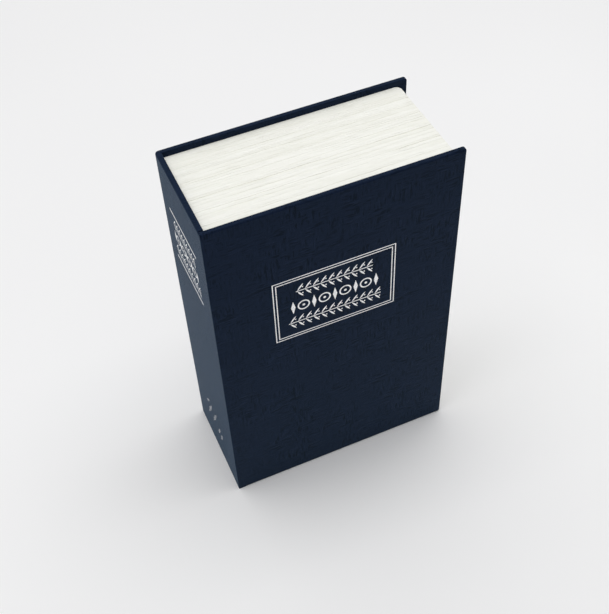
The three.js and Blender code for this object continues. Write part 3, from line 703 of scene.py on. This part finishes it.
# %% Its fold, thickness and ends
fold = edges_at(joint_strip, lambda co: near(co.x, joint_low.x) and near(co.y, joint_low.y))
round_edges(joint_strip, fold, fold_radius, 6)
bmesh.ops.recalc_face_normals(joint_strip, faces=joint_strip.faces)
inward = sum((face.normal.y + face.normal.x) * face.calc_area() for face in joint_strip.faces)
if inward > 0:
    bmesh.ops.reverse_faces(joint_strip, faces=joint_strip.faces)
bmesh.ops.solidify(joint_strip, geom=joint_strip.faces[:], thickness=cloth_thickness)
outer_ends = edges_at(joint_strip, lambda co: (
    (near(co.z, strip_end) or near(co.z, top_z - strip_end))
    and min(co.x - joint_low.x, co.y - joint_low.y) < cloth_thickness / 2
))
round_edges(joint_strip, outer_ends, cloth_thickness * 0.9, 4)
print(len(outer_ends), "edges at the ends of the strip rounded")
joint_cloth = set_down(
    joint_strip, "joint_fold_cloth", cloth, None, ["joint_cloth"], bends=True,
)
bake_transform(joint_cloth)

# %% [markdown]
# ## Lining papers
# A lining paper is cut a little smaller than the board and pasted over the turned-in cloth, so
# its edges are thin and soft. Each is a sheet as thick as its solid, with rounded edges. The
# sheet is cut in rows, and the rows are moved very slightly, because pasted paper is never
# quite flat.

# %% Lining papers
tenths = (0.1, 0.2, 0.3, 0.4, 0.5, 0.6, 0.7, 0.8, 0.9)
paper_edge = 0.06 * mm
unevenness = 0.02 * mm
swells_in_a_metre = 40


def lining_paper(solid_name, piece_name, body):
    low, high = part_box(solid_name)
    size = high - low
    thin = min(range(3), key=lambda axis: size[axis])
    paper = block(low, high)
    round_edges(paper, paper.edges[:], paper_edge, 2)
    for axis, direction in enumerate((across, along, up)):
        if axis == thin:
            continue
        for share in tenths:
            slice_faces(paper, paper.faces[:], low + direction * size[axis] * share, direction)
    for point in paper.verts:
        inside = 0.5 - abs((point.co[thin] - low[thin]) / size[thin] - 0.5)
        on_a_face = inside < 0.01
        if on_a_face:
            pull = 0.5 + 0.5 * noise.noise(point.co * swells_in_a_metre)
            inwards = 1 if point.co[thin] < (low + high)[thin] / 2 else -1
            point.co[thin] += pull * unevenness * inwards
    set_down(paper, piece_name, lining, body, [solid_name])


lining_paper("front_lining", "front_lining_paper", "front_cover")
lining_paper("back_lining", "back_lining_paper", "root")
lining_paper("spine_lining", "spine_lining_paper", "root")

# %% [markdown]
# ## Block of leaves
# The head, tail and fore-edge of the moulding carry the edges of the leaves: bundles from one
# to two and a half millimetres thick with a groove between each two, none of them quite
# straight. From above they are what one sees most of.
# Displacing a finely divided block would blur such narrow grooves. Instead a plate with a
# window is drawn out through the thickness of the book, station by station: one in each
# groove, a few on the rise on both its sides, and a few close to both faces, where the
# fore-edge is round. Then each station is pushed in by its own depth and swayed along its
# length, so a groove stays sharp and wanders as one line.

# %% Stations through the thickness
pages_low, pages_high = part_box("page_frame")
page_thickness = pages_high.y - pages_low.y
thinnest_bundle, thickest_bundle = 0.9 * mm, 2.4 * mm
beside_the_faces = (0.05 * mm, 0.15 * mm, 0.4 * mm, 0.75 * mm)


def uneven(seed, low, high):
    """A number between low and high that is always the same for one seed."""
    swing = math.sin(seed * 12.9898 + 78.233 * math.cos(seed * 4.1))
    return low + (high - low) * (0.5 + 0.5 * swing)


groove_places = [0]
while groove_places[-1] < page_thickness:
    bundle = uneven(len(groove_places), thinnest_bundle, thickest_bundle)
    groove_places.append(groove_places[-1] + bundle)
stretch = page_thickness / groove_places[-1]
groove_places = [place * stretch for place in groove_places]
stations = {}
rise = ((0, 1.0), (0.08, 0.45), (0.2, 0.1), (0.5, 0), (0.8, 0.1), (0.92, 0.45))
for number, (start, end) in enumerate(zip(groove_places, groove_places[1:])):
    for share, depth in rise:
        groove_number = number if share < 0.5 else number + 1
        stations[start + (end - start) * share] = (depth, groove_number)
stations[page_thickness] = (0, len(groove_places) - 1)
stations[0] = (0, 0)
for place in beside_the_faces:
    stations[place] = (0, 0)
    stations[page_thickness - place] = (0, len(groove_places) - 1)
station_list = sorted(stations)
print(len(groove_places) - 1, "bundles,", len(station_list), "stations")

# %% Plate with a window
box_low, box_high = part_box("steel_box")
window_gap = 0.3 * mm
plate = bmesh.new()
bmesh.ops.create_grid(plate, x_segments=56, y_segments=64, size=0.5)
plate_size = pages_high - pages_low
turn_points(plate, plate.verts, 90, "X")
bmesh.ops.scale(plate, vec=(plate_size.x, 1, plate_size.z), verts=plate.verts)
plate_middle = (pages_low + pages_high) / 2
bmesh.ops.translate(plate, vec=(plate_middle.x, pages_low.y, plate_middle.z), verts=plate.verts)
for point, direction in (
    (box_low - Vector((window_gap, 0, 0)), across),
    (box_high + Vector((window_gap, 0, 0)), across),
    (box_low - Vector((0, 0, window_gap)), up),
    (box_high + Vector((0, 0, window_gap)), up),
):
    slice_faces(plate, plate.faces[:], point, direction)
open_up(plate, lambda co: (
    box_low.x - window_gap < co.x < box_high.x + window_gap
    and box_low.z - window_gap < co.z < box_high.z + window_gap
))
print("plate with", len(plate.faces), "faces")

# %% Drawn out from station to station
cap = plate.faces[:]
for before, after in zip(station_list, station_list[1:]):
    grown = bmesh.ops.extrude_face_region(plate, geom=cap)["geom"]
    if before > 0:
        bmesh.ops.delete(plate, geom=cap, context="FACES")
    bmesh.ops.translate(plate, vec=(0, after - before, 0), verts=only_points(grown))
    cap = [part for part in grown if isinstance(part, bmesh.types.BMFace)]
bmesh.ops.recalc_face_normals(plate, faces=plate.faces)
print("block with", len(plate.faces), "faces")

# %% Grooves, sway and the rounded fore-edge
edge_radius = 2.8 * mm
groove_depth_most = 0.36 * mm
weakest_groove, strongest_groove = 0.5, 0.75
faintest_spot, usual_spot = 0.5, 0.75
thin_edge_height = 0.05 * mm
sway = 0.42 * mm
ripple = 0.3 * mm
calm_ends = 1.5 * mm
swings_along, swings_across = 22, 110
leaf_depth = plate.verts.layers.float.new("leaf_depth")


def wander(place_along, place_across, seed):
    """A noise from -1 to 1 that changes slowly along a leaf and fast from leaf to leaf."""
    place = (place_along * swings_along, place_across * swings_across, seed)
    return noise.noise(Vector(place))


def edge_rounding(from_face):
    """How far the rounded fore-edge lies back at this distance from the nearer face."""
    inside = min(from_face, page_thickness - from_face, edge_radius)
    return edge_radius - math.sqrt(edge_radius ** 2 - (edge_radius - inside) ** 2)


halfway = [(before + after) / 2 for before, after in zip(station_list, station_list[1:])]
window_side = box_high.x + window_gap
for point in plate.verts:
    from_face = station_list[bisect.bisect(halfway, point.co.y - pages_low.y)]
    depth_share, groove_number = stations[from_face]
    at_head = near(point.co.z, pages_high.z)
    at_tail = near(point.co.z, pages_low.z)
    at_fore_edge = near(point.co.x, pages_high.x)
    past_window = max(0, point.co.x - window_side) / (pages_high.x - window_side)
    point.co.x -= edge_rounding(from_face) * past_window
    if not (at_head or at_tail or at_fore_edge):
        continue
    along_leaf = point.co.z if at_fore_edge else point.co.x
    fade = usual_spot + wander(along_leaf * 2.2, groove_number * 7.1 * mm, 3.3)
    fade = min(1, max(faintest_spot, fade))
    strength_here = uneven(groove_number + 40, weakest_groove, strongest_groove) * fade
    thin_edge = thin_edge_height * wander(along_leaf * 2, from_face * 9, 8.8)
    push = groove_depth_most * strength_here * depth_share + (thin_edge if from_face > 0 else 0)
    ends = min(from_face, page_thickness - from_face) / calm_ends
    push = max(push, 0) * min(1, ends)
    # The depth is kept for the finish of the leaves, which paints shade into the grooves with it.
    point[leaf_depth] = strength_here * depth_share * min(1, ends)
    slow_wave = sway * wander(along_leaf, from_face, 1.7)
    quick_wave = ripple * wander(along_leaf * 5, from_face * 3, 6.1)
    point.co.y += (slow_wave + quick_wave) * min(1, ends / 2)
    if at_fore_edge:
        point.co.x -= push
    if at_head:
        point.co.z -= push
    if at_tail:
        point.co.z += push
set_down(plate, "page_block", leaves, "root", ["page_frame"], crease=60)

# %% [markdown]
# ## Foil stamping
# The front has a double frame with three rows inside it, and the spine two rules with three
# smaller rows between them and a short row of leaves near its foot. A generic ornament of
# leaves, dots, rings and lozenges fills the rows, such as any printer's case holds.
# Stamping could be drawn in the material, but thin lines come out sharp only as geometry. So
# every mark is a flat face, drawn as if on a table with X across and Y up, and a whole group is
# then given a thickness and laid on its cover.

# %% Marks of the ornament
leaf_taper = 0.55


def disc(sheet, corners, radius):
    made = bmesh.ops.create_circle(sheet, cap_ends=True, segments=corners, radius=radius)
    return made["verts"]


def put_at(sheet, points, place):
    bmesh.ops.translate(sheet, vec=(place[0] * mm, place[1] * mm, 0), verts=points)


def dot(sheet, place, width):
    put_at(sheet, disc(sheet, 10, width / 2 * mm), place)


def lozenge(sheet, place, width, height):
    points = disc(sheet, 4, 0.5 * mm)
    bmesh.ops.scale(sheet, vec=(width, height, 1), verts=points)
    put_at(sheet, points, place)


def bar(sheet, place, width, height):
    points = disc(sheet, 4, math.sqrt(0.5) * mm)
    turn_points(sheet, points, 45, "Z")
    bmesh.ops.scale(sheet, vec=(width, height, 1), verts=points)
    put_at(sheet, points, place)


def leaf(sheet, foot, length, width, turn):
    """A pointed leaf that grows from its foot; turn 0 points up."""
    points = disc(sheet, 12, 0.5 * mm)
    for point in points:
        from_middle = abs(point.co.y) / (0.5 * mm)
        point.co.x *= 1 - leaf_taper * from_middle ** 2
    bmesh.ops.scale(sheet, vec=(width, length, 1), verts=points)
    bmesh.ops.translate(sheet, vec=(0, length / 2 * mm, 0), verts=points)
    turn_points(sheet, points, -turn, "Z")
    put_at(sheet, points, foot)

# %% Rings
def arc(sheet, centre, radius, width, first, last):
    """A short edge, spun round the centre from the angle first to the angle last."""
    around = Vector((centre[0] * mm, centre[1] * mm, 0))
    start = Matrix.Rotation(math.radians(first), 3, "Z")
    distances = ((radius - width / 2) * mm, (radius + width / 2) * mm)
    ends = [sheet.verts.new(around + start @ Vector((away, 0, 0))) for away in distances]
    edge = sheet.edges.new(ends)
    bmesh.ops.spin(
        sheet, geom=ends + [edge], cent=around, axis=(0, 0, 1),
        angle=math.radians(last - first), steps=10, use_merge=False,
    )


def ring(sheet, centre, radius, width):
    arc(sheet, centre, radius, width, 0, 180)
    arc(sheet, centre, radius, width, 180, 360)

# %% Rows of ornament
stem_share, leaf_share, leaf_width_share = 0.055, 0.56, 0.11
leaf_foot_share, leaf_foot_along, leaf_lean = 0.05, 0.2, 38
berry_share, berry_rise_share, berry_along = 0.09, 0.24, 0.66
ring_radius_share, ring_line_share, ring_berry_share = 0.33, 0.085, 0.17
lozenge_share = 0.27


def garland(sheet, middle, width, size, count):
    """A straight stem with leaves that lean along it, above and below, and berries."""
    pitch = width / count
    bar(sheet, middle, width, stem_share * size)
    for index in range(count):
        x = middle[0] + (index + leaf_foot_along - count / 2) * pitch
        for side, turn in ((1, leaf_lean), (-1, 180 - leaf_lean)):
            foot = (x, middle[1] + side * leaf_foot_share * size)
            leaf(sheet, foot, leaf_share * size, leaf_width_share * size, turn)
        for side in (1, -1):
            berry = (x + berry_along * pitch, middle[1] + side * berry_rise_share * size)
            dot(sheet, berry, berry_share * size)


def ring_row(sheet, middle, width, size, count):
    """Rings with a berry in them, by turns with tall lozenges."""
    pitch = width / count
    for index in range(count):
        place = (middle[0] + (index + 0.5 - count / 2) * pitch, middle[1])
        if index % 2:
            ring(sheet, place, ring_radius_share * size, ring_line_share * size)
            dot(sheet, place, ring_berry_share * size)
        else:
            lozenge(sheet, place, lozenge_share * size, size)

# %% Stamping a sheet of marks on a cover
foil_height = 0.03 * mm
foil_root = 0.06 * mm


def stamp(sheet, name, to_cover, finish, body):
    """Gives the marks a thickness that starts in the cloth and lays them on the cover."""
    bmesh.ops.remove_doubles(sheet, verts=sheet.verts, dist=merge_distance)
    turned_over = [face for face in sheet.faces if face.normal.z < 0]
    bmesh.ops.reverse_faces(sheet, faces=turned_over)
    bmesh.ops.translate(sheet, vec=(0, 0, foil_height), verts=sheet.verts)
    sunk = bmesh.ops.extrude_face_region(sheet, geom=sheet.faces[:])["geom"]
    into_cloth = (0, 0, -foil_height - foil_root)
    bmesh.ops.translate(sheet, vec=into_cloth, verts=only_points(sunk))
    bmesh.ops.recalc_face_normals(sheet, faces=sheet.faces)
    bmesh.ops.transform(sheet, matrix=to_cover, verts=sheet.verts)
    set_down(sheet, name, finish, body)


def frame_line(sheet, width, height, line):
    """A thin rectangular line: a sheet, inset by the width of the line, without its middle."""
    points = bmesh.ops.create_grid(sheet, x_segments=1, y_segments=1, size=0.5)["verts"]
    bmesh.ops.scale(sheet, vec=(width * mm, height * mm, 1), verts=points)
    inner = [face for face in sheet.faces if points[0] in face.verts]
    bmesh.ops.inset_region(
        sheet, faces=inner, thickness=line * mm, use_boundary=True, use_even_offset=True,
    )
    bmesh.ops.delete(sheet, geom=inner, context="FACES")


def on_front(x, z):
    """From the table to the front cover, with the middle of the sheet at x and z."""
    return Matrix(((1, 0, 0, x * mm), (0, 0, -1, front_low.y), (0, 1, 0, z * mm), (0, 0, 0, 1)))


def on_spine(y, z):
    """From the table to the spine, with X from the back cover to the front."""
    return Matrix(((0, 0, -1, spine_low.x), (-1, 0, 0, y * mm), (0, 1, 0, z * mm), (0, 0, 0, 1)))

# %% Front cover: double frame and three rows
rule = 0.45
frame_middle, ornament_middle = (-2.05, 121.3), (-2.2, 121.7)
frame_width, frame_height, frame_gap = 57.4, 37.2, 1.43
row_pitch, row_height, short_row, long_row = 9.55, 7.8, 36, 44.2

front_rules = bmesh.new()
for inset in (0, frame_gap):
    frame_line(front_rules, frame_width - 2 * inset, frame_height - 2 * inset, rule)
stamp(front_rules, "front_foil_frame", on_front(*frame_middle), sound_foil, "front_cover")

front_rows = bmesh.new()
garland(front_rows, (0, row_pitch), short_row, row_height, 10)
ring_row(front_rows, (0, 0), long_row, row_height, 9)
garland(front_rows, (0, -row_pitch), long_row, row_height, 12)
on_cover = on_front(*ornament_middle)
stamp(front_rows, "front_foil_ornament", on_cover, sound_foil, "front_cover")

# %% Spine: two rules and three rows
spine_middle = (0.55, 143.25)
spine_rule, spine_rule_length, spine_rule_spacing = 0.95, 32.7, 27.9
spine_pitch, spine_row_height, short_spine_row, long_spine_row = 7.9, 6.6, 27, 31

spine_rules = bmesh.new()
for side in (-1, 1):
    bar(spine_rules, (0, side * spine_rule_spacing / 2), spine_rule_length, spine_rule)
stamp(spine_rules, "spine_foil_rules", on_spine(*spine_middle), sound_foil, "root")

spine_rows = bmesh.new()
garland(spine_rows, (0, spine_pitch), short_spine_row, spine_row_height, 9)
ring_row(spine_rows, (0, 0), long_spine_row, spine_row_height, 9)
garland(spine_rows, (0, -spine_pitch), long_spine_row, spine_row_height, 10)
stamp(spine_rows, "spine_foil_ornament", on_spine(*spine_middle), sound_foil, "root")

# %% Foot of the spine: a row of leaves, each with its foot, length, width and turn
foot_middle = (-0.2, 27.2)
foot_leaves = (
    ((-10.5, 2.9), 6, 2.4, 43),
    ((-10, -6), 14, 2.2, 29),
    ((-3.8, -6.5), 15, 2.2, 29),
    ((3, -8.5), 9, 2.2, 29),
    ((5.8, -10.5), 8, 2.2, 29),
)
foot_row = bmesh.new()
for foot, length, width, turn in foot_leaves:
    leaf(foot_row, foot, length, width, turn)
stamp(foot_row, "spine_foot_ornament", on_spine(*foot_middle), rubbed_foil, "root")

# %% [markdown]
# ## Metal pieces
# The solids of the box, the lid, the hinge and the lock have the right shape but knife-sharp
# edges, which no bent or stamped sheet has, and which never catch the light. Modelling them
# again would only repeat their shape. So a copy of each solid's mesh is merged, its flat
# faces are joined, and its sharp edges get a small round.

# %% Softened copies of the measured solids
flat_angle, sharp_angle = math.radians(1), math.radians(40)


def softened(solid_name, piece_name, radius, finish):
    shape = bmesh.new()
    shape.from_mesh(solids[solid_name].data)
    bmesh.ops.remove_doubles(shape, verts=shape.verts, dist=same_place)
    bmesh.ops.dissolve_limit(
        shape, angle_limit=flat_angle, verts=shape.verts, edges=shape.edges,
    )
    closed = [edge for edge in shape.edges if len(edge.link_faces) == 2]
    sharp = [edge for edge in closed if edge.calc_face_angle() > sharp_angle]
    round_edges(shape, sharp, radius, 2)
    body = solids[solid_name]["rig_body"]
    set_down(shape, piece_name, finish, body, [solid_name])


for solid_name, piece_name, radius, finish, slot in (
    ("steel_box", "box_pan", 0.3 * mm, coat, "box_paint"),
    ("lid_panel", "lid_sheet", 0.3 * mm, coat, "box_paint"),
    ("keeper", "keeper_angle", 0.2 * mm, zinc, "bright_steel"),
    ("hinge_box_leaf", "hinge_leaf_on_box", 0.12 * mm, zinc, "bright_steel"),
    ("hinge_lid_leaf", "hinge_leaf_on_lid", 0.12 * mm, zinc, "bright_steel"),
    ("hinge_pin", "hinge_rod", 0.2 * mm, zinc, "bright_steel"),
    ("star_washer", "toothed_washer", 0.1 * mm, zinc, "bright_steel"),
    ("lock_nut", "housing_nut", 0.25 * mm, zinc, "bright_steel"),
    ("stop_washer", "notched_washer", 0.12 * mm, zinc, "bright_steel"),
    ("lock_cam", "cam_plate", 0.2 * mm, zinc, "bright_steel"),
    ("cam_washer", "plain_washer", 0.1 * mm, zinc, "bright_steel"),
    ("cam_nut", "stud_nut", 0.2 * mm, zinc, "bright_steel"),
    ("lock_housing", "lock_barrel", 0.15 * mm, chrome, "lock_chrome"),
    ("lock_plug", "lock_core", 0.12 * mm, chrome, "lock_chrome"),
):
    softened(solid_name, piece_name, radius, finish)

# %% [markdown]
# ## Solids that stay
# The boards lie hidden in their cloth, and the wafers and springs in the lock. The rivets and
# screws have their full shape already. Their solids stay as they are and only get a finish.

# %% Finishes for the solids that stay
def dress(prefix, finish):
    for name, solid in solids.items():
        if name.startswith(prefix) and not solid.hide_render:
            solid.data.materials.clear()
            solid.data.materials.append(finish.material)


for name in ("front_board", "spine_board", "back_board"):
    dress(name, greyboard)
for name in ("box_leaf_rivet", "lid_leaf_rivet", "keeper_rivet", "frame_screw", "wafer_spring"):
    dress(name, zinc)
for number in range(1, 5):
    dress(f"wafer_{number}", brass)
left_plain = [name for name, solid in solids.items() if not solid.hide_render]
print(len(left_plain), "solids stay:", ", ".join(left_plain))
